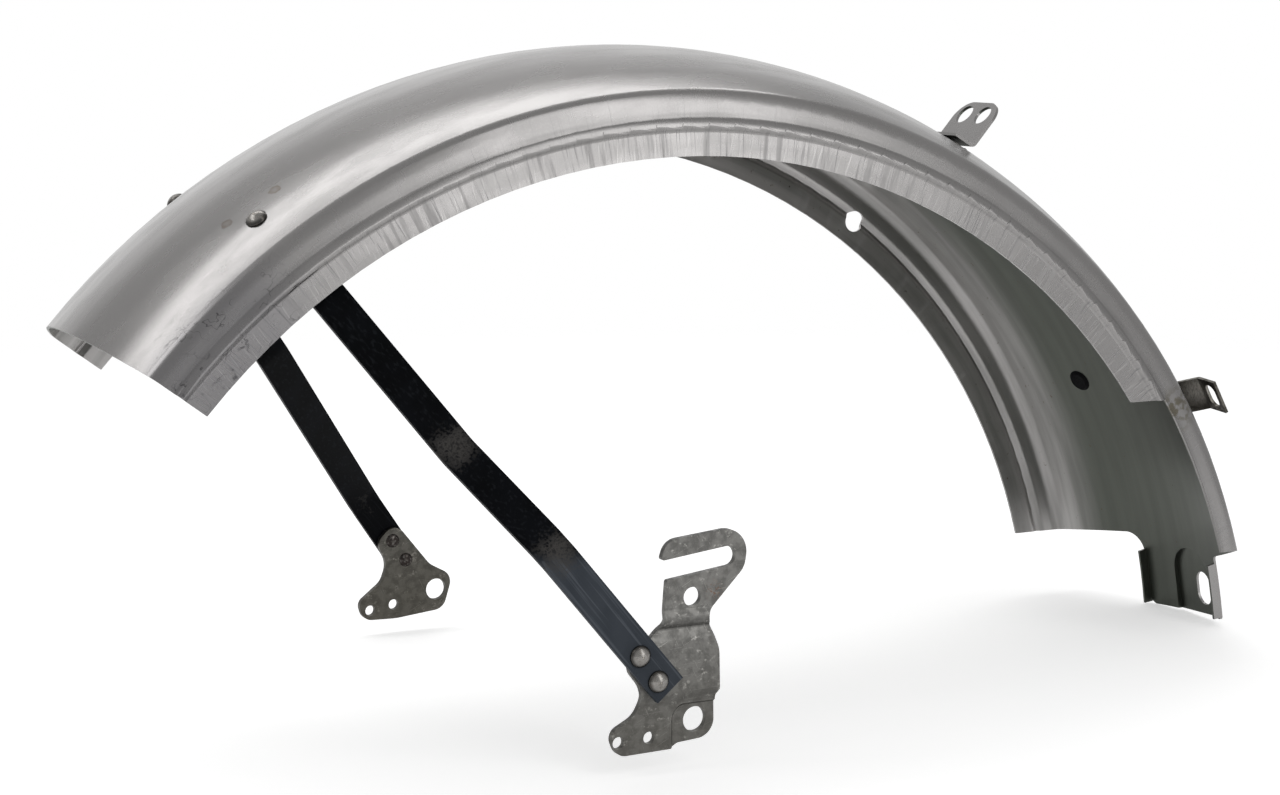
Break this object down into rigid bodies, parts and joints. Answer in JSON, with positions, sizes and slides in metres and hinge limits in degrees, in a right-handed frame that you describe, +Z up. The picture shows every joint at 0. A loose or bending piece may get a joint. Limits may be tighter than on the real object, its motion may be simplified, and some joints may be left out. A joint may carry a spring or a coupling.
{
  "type": "motorcycle rear fender",
  "caption": "Pressed steel rear fender arch with a beaded skirt, a slotted front tongue and a bent flat-bar stay that ends on two side plates, one with an open hook.",
  "frame": {"origin": "on the axis of the frame bolt that passes through both side plates, halfway between the plates", "axes": "+X the motorcycle's front, +Y its left side, +Z up; the arch lies about a wheel axis parallel to Y"},
  "size_m": [0.6669, 0.3378, 0.3338],
  "materials": {
    "shell_steel": "bare pressed steel sheet, unpainted",
    "stay_black": "black oxide with bare patches at the bends",
    "plate_grey": "raw grey steel plate, scratched",
    "rivet_steel": "formed steel rivet",
    "doubler_steel": "bare steel sheet",
    "clip_steel": "dark formed steel",
    "plug_black": "matte black"
  },
  "bodies": {
    "root": {"fender_shell": "shell_steel", "crown_doubler_right": "doubler_steel", "crown_doubler_left": "doubler_steel", "stay_hoop": "stay_black", "hook_plate_right": "plate_grey", "side_plate_left": "plate_grey", "crown_rivet_right": "rivet_steel", "crown_rivet_left": "rivet_steel", "plate_rivet_right_upper": "rivet_steel", "plate_rivet_right_lower": "rivet_steel", "plate_rivet_left_upper": "rivet_steel", "plate_rivet_left_lower": "rivet_steel", "crown_ear": "shell_steel", "front_clip": "clip_steel", "crown_plug": "plug_black"}
  },
  "joints": []
}
